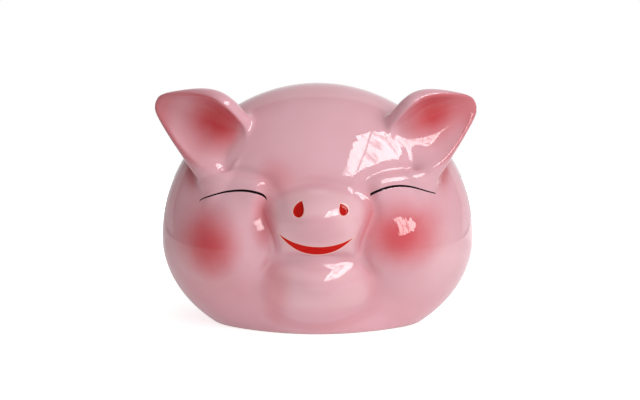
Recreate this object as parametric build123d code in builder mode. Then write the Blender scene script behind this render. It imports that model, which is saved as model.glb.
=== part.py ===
"""A smiling pig's head in glazed earthenware, of the kind that is slip cast hollow and used as a money box.

The head is a hollow shell with a flat foot. Two cupped ears are luted to it, a coin slot is cut
behind the crown, and a soft bung closes the emptying hole in the base. The face looks along -Y,
the foot stands on z = 0, and the origin is the middle of the foot. All lengths are millimetres.
"""

import os
from math import asin, cos, hypot, pi, radians, sin, sqrt

from build123d import *

# The head: a wide round dome over a shallower bowl that the foot cuts flat
head_half_width = 82.0
crown_rise = 81.0
widest_level = 46.0
bowl_drop = 60.3
face_depth = 52.0
back_depth = 64.5
wall = 4.5

# How closely the outlines of the head follow its forms
front_spans = 32
back_spans = 12
even_span_share = 0.6
bowl_sections = 11
face_sections = 11
crown_section_tilts = (40, 46, 52, 58, 64, 70, 76, 82, 87)
cavity_section_count = 12

# The snout, and the nose tip on it
snout_level = 61.0
snout_half_width = 33.0
snout_height_above = 23.0
snout_height_below = 27.0
snout_rise = 11.5
snout_fullness = 2.4
nose_level = 66.5
nose_half_width = 25.0
nose_height_above = 13.5
nose_height_below = 17.0
nose_rise = 3.6
nose_fullness = 2.6

# The round chin below the mouth, and the swelling that carries the front of the foot
chin_level = 29.5
chin_half_width = 31.0
chin_half_height = 24.0
chin_rise = 10.5
chin_fullness = 2.4
base_half_width = 48.0
base_height = 21.0
base_rise = 6.5

# The cheeks, the lids over the eyes, and the valleys beside the bridge and the smile
cheek_across = 52.0
cheek_level = 47.0
cheek_half_width = 32.0
cheek_height_above = 28.0
cheek_height_below = 36.0
cheek_rise = 9.5
lid_across = 43.0
lid_level = 73.0
lid_half_width = 26.0
lid_height_above = 14.5
lid_height_below = 18.0
lid_rise = 3.2
lid_fullness = 3.0
bridge_across = 24.0
bridge_level = 77.0
bridge_half_width = 11.0
bridge_half_height = 14.0
bridge_depth = 2.0
smile_across = 26.0
smile_level = 52.0
smile_half_width = 12.0
smile_half_height = 26.0
smile_depth = 2.2

# The foot: a ring that stands, round a recess with the emptying hole in its middle
foot_ring_width = 9.0
foot_recess = 3.5
foot_rounding = 7.0
bung_hole_radius = 17.0

# The coin slot behind the crown
slot_length = 38.0
slot_width = 5.0
slot_behind = 25.0

# The mouth and closed eyes, pressed lightly into the clay to guide the brush, and the deeper nostrils
mark_depth = 0.8
mouth_half_width = 19.2
mouth_corner_level = 54.9
mouth_upper_level = 49.8
mouth_lower_level = 45.4
eye_inner_across = 26.8
eye_outer_across = 61.4
eye_peak_across = 41.0
eye_inner_level = 74.5
eye_outer_level = 71.6
eye_peak_level = 78.9
eye_line_width = 1.3
left_eye_drop = 2.5
nostril_depth = 1.6
nostril_across = 11.4
nostril_level = 68.6
nostril_length = 8.1
nostril_radius = 2.7
nostril_tip_radius = 0.8
nostril_lean = 18.0

# The ears: how they stand on the head, and their size
ear_root_across = 56.0
ear_root_ahead = 27.0
ear_root_level = 105.0
ear_rise_angle = 20.0
ear_sweep_angle = 22.0
left_ear_reach = 35.8
right_ear_reach = 33.4
ear_width = 43.0
ear_depth = 22.0
ear_bowl = 4.5
ear_bowl_lift = 1.3
ear_bowl_width_share = 0.94
ear_tip_lift_share = 0.09

# Along the ear: how far out, how far back, its middle, its width, its depth and its bowl
ear_station_shares = (
    (-0.60, 0.46, 0.00, 0.80, 0.90, 1.00),
    (-0.42, 0.27, 0.01, 0.93, 0.98, 1.00),
    (-0.22, 0.09, 0.02, 1.00, 1.00, 1.00),
    (0.00, 0.00, 0.02, 1.00, 1.00, 1.00),
    (0.25, 0.00, 0.04, 0.89, 0.86, 0.90),
    (0.50, 0.00, 0.07, 0.70, 0.65, 0.60),
    (0.70, 0.00, 0.08, 0.50, 0.46, 0.25),
    (0.85, 0.00, 0.08, 0.32, 0.32, 0.05),
    (0.95, 0.00, 0.09, 0.17, 0.20, -0.10),
)

# The bung: a soft moulded cup whose ribs grip the hole, with a flange and a tab to pull it by
bung_fit = 0.1
bung_flange_radius = 20.5
bung_flange_thickness = 1.8
bung_rib_height = 1.2
bung_rib_count = 2
bung_groove = 0.7
bung_height = 12.0
bung_skin = 2.2
bung_lead = 1.2
bung_tab_thickness = 1.2
bung_tab_radius = 11.0
bung_tab_set_share = 0.62

# Working values
overrun = 2.0
swell_softness = 2
crown_level = widest_level + crown_rise


def swell(across, up, half_width, height_above, height_below, rise, fullness=2):
    """The rise of one soft form at a place beside and above its middle, where it is full."""
    reach = hypot(across / half_width, up / (height_above if up > 0 else height_below))
    return rise * (1 - min(1, reach) ** fullness) ** swell_softness


def face_relief(x, z):
    """How far the face stands in front of the plain dome at a place on it."""
    from_snout, from_nose, from_chin = z - snout_level, z - nose_level, z - chin_level
    relief = swell(
        x, from_snout, snout_half_width, snout_height_above, snout_height_below, snout_rise, snout_fullness
    )
    relief += swell(x, from_nose, nose_half_width, nose_height_above, nose_height_below, nose_rise, nose_fullness)
    relief += swell(x, from_chin, chin_half_width, chin_half_height, chin_half_height, chin_rise, chin_fullness)
    relief += swell(x, z, base_half_width, base_height, base_height, base_rise)
    from_cheek, from_lid = abs(x) - cheek_across, abs(x) - lid_across
    from_bridge, from_smile = abs(x) - bridge_across, abs(x) - smile_across
    relief += swell(
        from_cheek, z - cheek_level, cheek_half_width, cheek_height_above, cheek_height_below, cheek_rise
    )
    relief += swell(
        from_lid, z - lid_level, lid_half_width, lid_height_above, lid_height_below, lid_rise, lid_fullness
    )
    relief -= swell(
        from_bridge, z - bridge_level, bridge_half_width, bridge_half_height, bridge_half_height, bridge_depth
    )
    relief -= swell(
        from_smile, z - smile_level, smile_half_width, smile_half_height, smile_half_height, smile_depth
    )
    return relief


def girth_share(z):
    """The head's girth at a level, as a share of its girth at the widest level."""
    reach = crown_rise if z > widest_level else bowl_drop
    return sqrt(1 - ((z - widest_level) / reach) ** 2)


def head_outline(z):
    """The points of the head's closed outline at a level, closer together over the face."""
    girth = girth_share(z)
    points = []
    for i in range(front_spans):
        turn = 2 * i / front_spans - 1
        angle = pi / 2 * (even_span_share * turn + (1 - even_span_share) * turn**3)
        x = head_half_width * girth * sin(angle)
        points.append((x, -face_depth * girth * cos(angle) - face_relief(x, z), 0))
    for i in range(back_spans):
        angle = pi * i / back_spans
        points.append((head_half_width * girth * cos(angle), back_depth * girth * sin(angle), 0))
    return points


def head_sections():
    """Draws the head's outlines, from the foot to just under the crown, as faces for a loft."""
    brow = widest_level + crown_rise * sin(radians(crown_section_tilts[0]))
    levels = [widest_level * i / bowl_sections for i in range(bowl_sections)]
    levels += [widest_level + (brow - widest_level) * i / face_sections for i in range(face_sections)]
    levels += [widest_level + crown_rise * sin(radians(tilt)) for tilt in crown_section_tilts]
    spans = front_spans + back_spans
    parameters = [i / spans for i in range(spans + 1)]
    faces = []
    for z in levels:
        with BuildSketch(Plane.XY.offset(z)) as section:
            with BuildLine():
                add(Edge.make_spline(head_outline(z), periodic=True, parameters=parameters))
            make_face()
        faces.append(section.sketch.faces()[0])
    return faces


def cavity_sections(floor):
    """Draws the cavity's outlines, from its floor to just under its top: the plain dome inside the wall."""
    floor_tilt = asin((floor - widest_level) / (bowl_drop - wall))
    top_tilt = radians(crown_section_tilts[-1])
    faces = []
    for i in range(cavity_section_count):
        tilt = floor_tilt + (top_tilt - floor_tilt) * i / (cavity_section_count - 1)
        reach = (crown_rise if tilt > 0 else bowl_drop) - wall
        half_width = (head_half_width - wall) * cos(tilt)
        with BuildSketch(Plane.XY.offset(widest_level + reach * sin(tilt))) as section:
            with BuildLine():
                front_depth = (face_depth - wall) * cos(tilt)
                rear_depth = (back_depth - wall) * cos(tilt)
                EllipticalCenterArc((0, 0), half_width, front_depth, start_angle=180, arc_size=180)
                EllipticalCenterArc((0, 0), half_width, rear_depth, start_angle=0, arc_size=180)
            make_face()
        faces.append(section.sketch.faces()[0])
    return faces


with BuildPart() as head_core:
    loft(sections=[*head_sections(), Vertex(0, 0, crown_level)])

with BuildPart() as cavity:
    cavity_floor = foot_recess + wall
    loft(sections=[*cavity_sections(cavity_floor), Vertex(0, 0, crown_level - wall)])

# The marks of the face as seen from the front, each pressed in by its own depth
with BuildSketch(Plane.XZ) as lines:
    with BuildLine():
        mouth_left = (-mouth_half_width, mouth_corner_level)
        mouth_right = (mouth_half_width, mouth_corner_level)
        ThreePointArc(mouth_left, (0, mouth_upper_level), mouth_right)
        ThreePointArc(mouth_left, (0, mouth_lower_level), mouth_right)
    make_face()
    for side, drop in ((-1, left_eye_drop), (1, 0)):
        with BuildLine():
            eye_inner = (side * eye_inner_across, eye_inner_level - drop)
            eye_outer = (side * eye_outer_across, eye_outer_level - drop)
            eye_peak = (side * eye_peak_across, eye_peak_level - drop)
            ThreePointArc(eye_inner, eye_peak, eye_outer)
            ThreePointArc(eye_inner, (eye_peak[0], eye_peak[1] - eye_line_width), eye_outer)
        make_face()

with BuildSketch() as teardrop:
    Circle(nostril_radius)
    with Locations((0, nostril_length - nostril_radius - nostril_tip_radius)):
        Circle(nostril_tip_radius)
    make_hull()

with BuildSketch(Plane.XZ) as nostrils:
    for side in (-1, 1):
        nostril_place = (side * nostril_across, nostril_level - nostril_radius, 0)
        with Locations(Location(nostril_place, (0, 0, side * nostril_lean))):
            add(teardrop.sketch)

face_marks = []
for sketch, depth in ((lines.sketch, mark_depth), (nostrils.sketch, nostril_depth)):
    with BuildPart() as mark:
        extrude(sketch, amount=face_depth + snout_rise + nose_rise + overrun)
        add(head_core.part.moved(Location((0, depth, 0))), mode=Mode.SUBTRACT)
    face_marks.append(mark.part)

with BuildPart() as head_shell:
    add(head_core.part)
    fillet(head_shell.faces().sort_by(Axis.Z)[0].edges(), foot_rounding)
    add(cavity.part, mode=Mode.SUBTRACT)
    add(face_marks, mode=Mode.SUBTRACT)
    # The recess inside the foot ring, and the emptying hole through the floor above it
    foot_share = girth_share(0)
    with BuildSketch(Plane.XY):
        Ellipse(head_half_width * foot_share - foot_ring_width, face_depth * foot_share - foot_ring_width)
    extrude(amount=foot_recess, mode=Mode.SUBTRACT)
    with Locations((0, 0, cavity_floor)):
        Hole(bung_hole_radius, depth=cavity_floor)
    # The coin slot, straight down through the wall behind the crown
    with BuildSketch(Plane.XY.offset(crown_level)):
        with Locations((0, slot_behind)):
            SlotOverall(slot_length, slot_width)
    extrude(amount=-crown_rise / 2, mode=Mode.SUBTRACT)

head_shell.part.label = "head_shell"

# The ears: a swelling lofted out from its root along a swept-back line, with a bowl scooped into its front
rise, sweep = radians(ear_rise_angle), radians(ear_sweep_angle)
ears = []
for name, side, reach in (("left_ear", -1, left_ear_reach), ("right_ear", 1, right_ear_reach)):
    outward = Vector(side * cos(rise) * cos(sweep), sin(sweep), sin(rise) * cos(sweep))
    upward = Vector(-side * sin(rise), 0, cos(rise))
    backward = upward.cross(outward) * side
    root = Vector(side * ear_root_across, -ear_root_ahead, ear_root_level)
    bodies, scoops = [], []
    for out_share, back_share, middle_share, width_share, depth_share, bowl_share in ear_station_shares:
        centre = root + outward * (out_share * reach) + backward * (back_share * reach)
        half_width = width_share * ear_width / 2
        half_depth = depth_share * ear_depth / 2
        with BuildSketch(Plane(centre, x_dir=upward, z_dir=outward)) as body:
            with Locations((middle_share * ear_width, 0)):
                Ellipse(half_width, half_depth)
        front = centre - backward * half_depth
        with BuildSketch(Plane(front, x_dir=upward, z_dir=outward)) as scoop:
            with Locations((middle_share * ear_width + ear_bowl_lift * width_share, 0)):
                Ellipse(half_width * ear_bowl_width_share, half_depth + bowl_share * ear_bowl)
        bodies.append(body.sketch.faces()[0])
        scoops.append(scoop.sketch.faces()[0])
    with BuildPart() as ear_scoop:
        loft(sections=scoops)
    tip = root + outward * reach + upward * (ear_tip_lift_share * ear_width)
    with BuildPart() as ear:
        loft(sections=[*bodies, Vertex(tip)])
        add(ear_scoop.part, mode=Mode.SUBTRACT)
        add(head_core.part, mode=Mode.SUBTRACT)
    ear.part.label = name
    ears.append(ear)

with BuildPart() as bung:
    flange_top = foot_recess
    flange_bottom = flange_top - bung_flange_thickness
    bung_top = flange_top + bung_height
    grip_radius = bung_hole_radius - bung_fit
    body_radius = grip_radius - bung_groove
    # The cup's outer side, with its flange below and a tapered lead at the top
    with BuildSketch(Plane.XZ):
        with BuildLine():
            Polyline(
                (0, flange_bottom),
                (bung_flange_radius, flange_bottom),
                (bung_flange_radius, flange_top),
                (body_radius, flange_top),
                (body_radius, bung_top - bung_lead),
                (body_radius - bung_lead, bung_top),
                (body_radius - bung_skin, bung_top),
                (body_radius - bung_skin, flange_top + bung_skin / 2),
                (0, flange_top + bung_skin / 2),
                close=True,
            )
        make_face()
        # Grip ribs inside the thickness of the floor
        for i in range(bung_rib_count):
            rib_level = flange_top + wall * (i + 0.5) / bung_rib_count
            with Locations((body_radius - bung_groove, rib_level)):
                Rectangle(2 * bung_groove, bung_rib_height, align=(Align.MIN, Align.CENTER))
    revolve(axis=Axis.Z)
    # The half-moon tab under the flange
    with BuildSketch(Plane.XY.offset(flange_bottom)):
        with Locations((0, -bung_flange_radius * bung_tab_set_share)):
            Circle(bung_tab_radius)
        Circle(bung_flange_radius, mode=Mode.INTERSECT)
    extrude(amount=-bung_tab_thickness)
bung.part.label = "bung"

os.makedirs("parts", exist_ok=True)
for piece in (head_shell, *ears, bung):
    print(piece.part.label, piece.part.is_valid, len(piece.part.solids()), round(piece.part.volume))
    export_step(piece.part, f"parts/{piece.part.label}.step")
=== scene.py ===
"""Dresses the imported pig's-head money box as the glazed earthenware that it is.

One glazed skin stands for the hollow head and its two ears, because the ears are luted on before
the glaze runs over the joins. A moulded rubber bung closes the emptying hole in the base. The forms
are worked out in millimetres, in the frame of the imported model, and each finished mesh is scaled
to metres.
"""

from __future__ import annotations

import logging
from dataclasses import dataclass
from enum import Enum
from functools import cached_property
from math import cos, pi, radians, sin, sqrt
from typing import Callable

import bmesh
import bpy
import numpy as np
from mathutils import Matrix, Vector


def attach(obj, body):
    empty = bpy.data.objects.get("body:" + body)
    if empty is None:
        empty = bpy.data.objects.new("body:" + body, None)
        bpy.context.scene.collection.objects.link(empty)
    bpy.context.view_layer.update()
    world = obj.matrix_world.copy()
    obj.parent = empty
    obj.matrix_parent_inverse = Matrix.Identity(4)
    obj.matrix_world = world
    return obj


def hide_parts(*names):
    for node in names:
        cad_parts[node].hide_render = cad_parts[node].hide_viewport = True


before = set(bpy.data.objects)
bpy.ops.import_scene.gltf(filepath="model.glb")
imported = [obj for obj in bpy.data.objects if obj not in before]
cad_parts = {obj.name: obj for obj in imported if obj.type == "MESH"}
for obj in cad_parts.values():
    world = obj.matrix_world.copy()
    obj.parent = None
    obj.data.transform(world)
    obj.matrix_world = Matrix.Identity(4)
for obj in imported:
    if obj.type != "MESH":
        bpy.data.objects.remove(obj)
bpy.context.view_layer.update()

MILLIMETRE = 0.001
TINY = 1e-6
WHITE = (1.0, 1.0, 1.0, 1.0)
DAYLIGHT = (1.0, 0.99, 0.98, 1.0)
LOG = logging.getLogger("pig_money_box")

Points = np.ndarray
BMesh = bmesh.types.BMesh
Socket = bpy.types.NodeSocket
Form = Callable[[Points], np.ndarray]


class Body(Enum):
    """The bodies that pieces ride on."""

    HEAD = "head"
    BUNG = "bung"


class Slot(Enum):
    """The material slots of the record."""

    GLAZE = "pink_glaze"
    RUBBER = "soft_rubber"


class Wire:
    """A number in a shader's nodes, so that one formula serves the clay and the paint."""

    def __init__(self, tree: bpy.types.NodeTree, socket: Socket) -> None:
        """Holds the node tree and the output that carries the number."""
        self.tree = tree
        self.socket = socket

    def through(self, operation: str, *others: Wire | float) -> Wire:
        """Runs the number through a Math node.

        Args:
            operation: The Math node's operation.
            others: The other numbers that the operation takes.

        Returns:
            The result as a wire.
        """
        node = self.tree.nodes.new("ShaderNodeMath")
        node.operation = operation
        for socket, value in zip(node.inputs, (self, *others)):
            feed(self.tree, socket, value)
        return Wire(self.tree, node.outputs[0])

    def __add__(self, other: Wire | float) -> Wire:
        """Adds."""
        return self.through("ADD", other)

    def __sub__(self, other: Wire | float) -> Wire:
        """Subtracts."""
        return self.through("SUBTRACT", other)

    def __rsub__(self, other: float) -> Wire:
        """Subtracts from a plain number."""
        return (self * -1.0).through("ADD", other)

    def __mul__(self, other: Wire | float) -> Wire:
        """Multiplies."""
        return self.through("MULTIPLY", other)

    def __truediv__(self, other: Wire | float) -> Wire:
        """Divides."""
        return self.through("DIVIDE", other)

    def __pow__(self, other: float) -> Wire:
        """Raises to a power."""
        return self.through("POWER", other)

    def __abs__(self) -> Wire:
        """Drops the sign."""
        return self.through("ABSOLUTE")

    __radd__ = __add__
    __rmul__ = __mul__


Number = Wire | np.ndarray | float


def feed(tree: bpy.types.NodeTree, socket: Socket, value: object) -> None:
    """Sets a node's input to a plain value, or links a wire or an output to it.

    Args:
        tree: The node tree.
        socket: The input.
        value: The plain value, wire or output.
    """
    if isinstance(value, Wire):
        value = value.socket
    if isinstance(value, Socket):
        tree.links.new(value, socket)
    else:
        socket.default_value = value


def least(first: Number, second: Number) -> Number:
    """The smaller of two numbers, on wires or arrays."""
    if isinstance(first, Wire):
        return first.through("MINIMUM", second)
    return np.minimum(first, second)


def most(first: Number, second: Number) -> Number:
    """The larger of two numbers, on wires or arrays."""
    if isinstance(first, Wire):
        return first.through("MAXIMUM", second)
    return np.maximum(first, second)


def soft_step(value: Number, start: float, end: float) -> Number:
    """A smooth rise from 0 to 1.

    Args:
        value: The number that rises, on a wire or in an array.
        start: Where the rise starts.
        end: Where it ends. It may lie below the start, for a fall.

    Returns:
        The share of the rise.
    """
    if isinstance(value, Wire):
        node = value.tree.nodes.new("ShaderNodeMapRange")
        node.interpolation_type = "SMOOTHSTEP"
        low, high = (0.0, 1.0) if start < end else (1.0, 0.0)
        names = ("Value", "From Min", "From Max", "To Min", "To Max")
        for name, setting in zip(names, (value, min(start, end), max(start, end), low, high)):
            feed(value.tree, node.inputs[name], setting)
        return Wire(value.tree, node.outputs["Result"])
    share = np.clip((value - start) / (end - start), 0.0, 1.0)
    return share * share * (3.0 - 2.0 * share)


def turned(side: Number, up: Number, degrees: float) -> tuple[Number, Number]:
    """A place on the face as it is seen from axes that lean by some degrees."""
    turn = radians(degrees)
    return side * cos(turn) + up * sin(turn), up * cos(turn) - side * sin(turn)


def soft_union(first: np.ndarray, second: np.ndarray, fillet: float | np.ndarray) -> np.ndarray:
    """Joins two forms, given by distances, with a fillet in the corner between them."""
    share = np.clip(0.5 + 0.5 * (second - first) / fillet, 0.0, 1.0)
    return second + (first - second) * share - fillet * share * (1.0 - share)


def soft_cut(solid: np.ndarray, cutter: np.ndarray, rounding: float) -> np.ndarray:
    """Cuts one form out of another, with a rounded edge round the cut."""
    return -soft_union(-solid, cutter, rounding)


def slopes(form: Form, points: Points, step: float = 0.05) -> np.ndarray:
    """The gradient of a form at each point.

    Args:
        form: A function that gives each point's distance from a surface.
        points: The points, one a row.
        step: How far to either side the form is read.

    Returns:
        One row of three slopes for each point.
    """
    shifts = np.eye(3) * step
    sides = [(form(points + shift) - form(points - shift)) / (2.0 * step) for shift in shifts]
    return np.stack(sides, axis=1)


def as_distance(form: Form, points: Points) -> np.ndarray:
    """Turns a form that grows with the square of the distance into about a true distance.

    Args:
        form: The form.
        points: The points.

    Returns:
        About how far each point is outside the form.
    """
    value, half_slope = form(points), np.linalg.norm(slopes(form, points), axis=1) / 2.0
    root = np.sqrt(np.maximum(half_slope**2 - value, 0.0))
    return value / np.maximum(half_slope + root, TINY)


def outside_oval(*axes: tuple[np.ndarray, np.ndarray | float]) -> np.ndarray:
    """About how far points are outside an ellipse or an ellipsoid.

    Args:
        axes: For each axis, the places along it and the half length.

    Returns:
        The distance of each point.
    """
    girth = np.sqrt(sum((place / half) ** 2 for place, half in axes))
    slope = np.sqrt(sum((place / half**2) ** 2 for place, half in axes))
    return (girth - 1.0) * girth / np.maximum(slope, 1e-9)


def cylinder(radius: float, height: float, segments: int) -> BMesh:
    """A capped upright cylinder round the origin."""
    mesh = bmesh.new()
    size = {"radius1": radius, "radius2": radius, "depth": height}
    bmesh.ops.create_cone(mesh, cap_ends=True, segments=segments, **size)
    return mesh


def absorb(work: BMesh, part: BMesh) -> None:
    """Adds a bmesh to another, and frees it.

    Args:
        work: The bmesh that grows.
        part: The bmesh that is added.
    """
    spare = bpy.data.meshes.new("spare")
    part.to_mesh(spare)
    part.free()
    work.from_mesh(spare)
    bpy.data.meshes.remove(spare)


@dataclass(frozen=True)
class Swelling:
    """One soft form of the face, seen from the front: full in its middle, nothing at its edge.

    A collar is the depth of a shallow valley along the edge.
    """

    across: float
    level: float
    half_width: float
    half_height: float
    rise: float
    fullness: float = 2.0
    below: float = 0.0
    lean: float = 0.0
    collar: float = 0.0
    collar_width: float = 5.0

    def height(self, across: np.ndarray, level: np.ndarray) -> np.ndarray:
        """The swelling's height at places on the face.

        Args:
            across: How far to the side each place is.
            level: How high each place is.

        Returns:
            The height at each place.
        """
        along, over = turned(across - self.across, level - self.level, self.lean)
        over = over / np.where(over < 0.0, self.below or self.half_height, self.half_height)
        reach = np.hypot(along / self.half_width, over)
        beside = (reach - 1.0) * self.half_width / self.collar_width
        valley = self.collar * np.exp(-(beside**2))
        return self.rise * (1.0 - np.minimum(reach, 1.0) ** self.fullness) ** 2 - valley


@dataclass(frozen=True)
class Groove:
    """A soft groove in the face along a curve through a few points, gone at both its ends.

    The points give places across and their levels. An upright groove's give levels and places
    across.
    """

    path: tuple[tuple[float, float], ...]
    depth: float
    width: float
    upright: bool = False

    def height(self, across: np.ndarray, level: np.ndarray) -> np.ndarray:
        """The groove's height, which is negative, at places on the face.

        Args:
            across: How far to the side each place is.
            level: How high each place is.

        Returns:
            The height at each place.
        """
        along, over = (level, across) if self.upright else (across, level)
        knots, line = np.array(self.path).T
        curve = np.polyfit(knots, line, len(self.path) - 2)
        middle, half_span = (knots[0] + knots[-1]) / 2, (knots[-1] - knots[0]) / 2
        reflection_shading = np.clip(1.0 - ((along - middle) / half_span) ** 2, 0.0, 1.0) ** 1.5
        beside = (over - np.polyval(curve, along)) / self.width
        return -self.depth * reflection_shading * np.exp(-(beside**2))


@dataclass(frozen=True)
class FaceForm:
    """The relief of the face: how far it stands in front of the plain dome of the head."""

    snout: Swelling = Swelling(0, 62.0, 33.0, 20.5, 11.8, 2.6, 25.0)
    nose: Swelling = Swelling(0, 68.0, 25.0, 13.0, 3.2, 2.8, 14.0)
    chin: Swelling = Swelling(0, 27.0, 32.0, 17.8, 11.3, 2.15, 22.0, 0.0, 1.2)
    base: Swelling = Swelling(0, 0.0, 48.0, 17.0, 6.2)
    cheek: Swelling = Swelling(52.0, 46.5, 32.0, 29.0, 9.0, 2.0, 35.5)
    lid: Swelling = Swelling(43.0, 80.5, 27.0, 6.2, 2.2, 3.0, 21.5)
    bridge_hollow: Swelling = Swelling(24.5, 76.5, 8.5, 13.0, -2.0, 2.0, 0.0, -22.0)
    nose_hollow: Groove = Groove(
        ((-24, 75), (-12, 79.5), (0, 81.2), (12, 79.5), (24, 75)), 1.3, 3.0
    )
    lid_fold: Groove = Groove(
        ((17, 75), (25.5, 83), (39, 87.3), (53, 85.8), (66, 79.8), (72, 76.5)), 1.6, 2.3
    )
    smile_fold: Groove = Groove(
        ((30, 29), (39, 25.8), (48, 22.8), (57, 25.6), (64, 28), (74, 28.2), (84, 27)),
        3.2,
        3.6,
        upright=True,
    )
    left_lid_drop: float = 1.2

    def relief(self, across: np.ndarray, level: np.ndarray) -> np.ndarray:
        """The height of the relief at places on the face.

        Args:
            across: How far to the side each place is.
            level: How high each place is.

        Returns:
            The height at each place.
        """
        side = np.abs(across)
        lid_level = level + self.left_lid_drop * soft_step(across, 5.0, -5.0)
        middle = (self.snout, self.nose, self.nose_hollow, self.chin, self.base)
        paired = (self.cheek, self.smile_fold, self.bridge_hollow)
        relief = sum(form.height(across, level) for form in middle)
        relief = relief + sum(form.height(side, level) for form in paired)
        return relief + self.lid.height(side, lid_level) + self.lid_fold.height(side, lid_level)


@dataclass(frozen=True)
class HeadForm:
    """The wide round dome of the head over its shallower bowl, with the face on its front."""

    face: FaceForm = FaceForm()
    half_width: float = 82.0
    crown_rise: float = 81.0
    widest_level: float = 46.0
    bowl_drop: float = 60.3
    face_depth: float = 52.0
    back_depth: float = 64.5
    turn_over: float = 6.0
    face_end: float = 4.0

    def radii(self, back: np.ndarray, rise: np.ndarray) -> tuple[np.ndarray, np.ndarray]:
        """The half depth and half height of the dome on the side that each point is on.

        Args:
            back: How far back each point is.
            rise: How far above the widest level it is.

        Returns:
            The half depth and the half height for each point.
        """
        rear, upper = (0.5 + 0.5 * np.tanh(place / self.turn_over) for place in (back, rise))
        depth = self.face_depth + (self.back_depth - self.face_depth) * rear
        return depth, self.bowl_drop + (self.crown_rise - self.bowl_drop) * upper

    def distance(self, points: Points) -> np.ndarray:
        """About how far each point is outside the head.

        Args:
            points: The points, one a row.

        Returns:
            The distance of each point.
        """
        across, back, level = points.T
        on_face = soft_step(back, self.face_end, -self.face_end)
        back = back + self.face.relief(across, level) * on_face
        rise = level - self.widest_level
        depth, height = self.radii(back, rise)
        return outside_oval((across, self.half_width), (back, depth), (rise, height))

    def on_dome(self, directions: Points, inset: float, with_face: bool) -> Points:
        """Puts the points of a unit sphere on the dome.

        Args:
            directions: Points of a unit sphere.
            inset: How far inside the skin the dome lies.
            with_face: Whether the face stands out of it.

        Returns:
            The points on the dome.
        """
        side, back, up = directions.T
        depth, height = self.radii(back * self.back_depth, up * self.crown_rise)
        across = side * (self.half_width - inset)
        level = self.widest_level + up * (height - inset)
        behind = back * (depth - inset)
        if with_face:
            behind = behind - self.face.relief(across, level) * soft_step(back, 0.05, -0.05)
        return np.stack((across, behind, level), axis=1)


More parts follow.
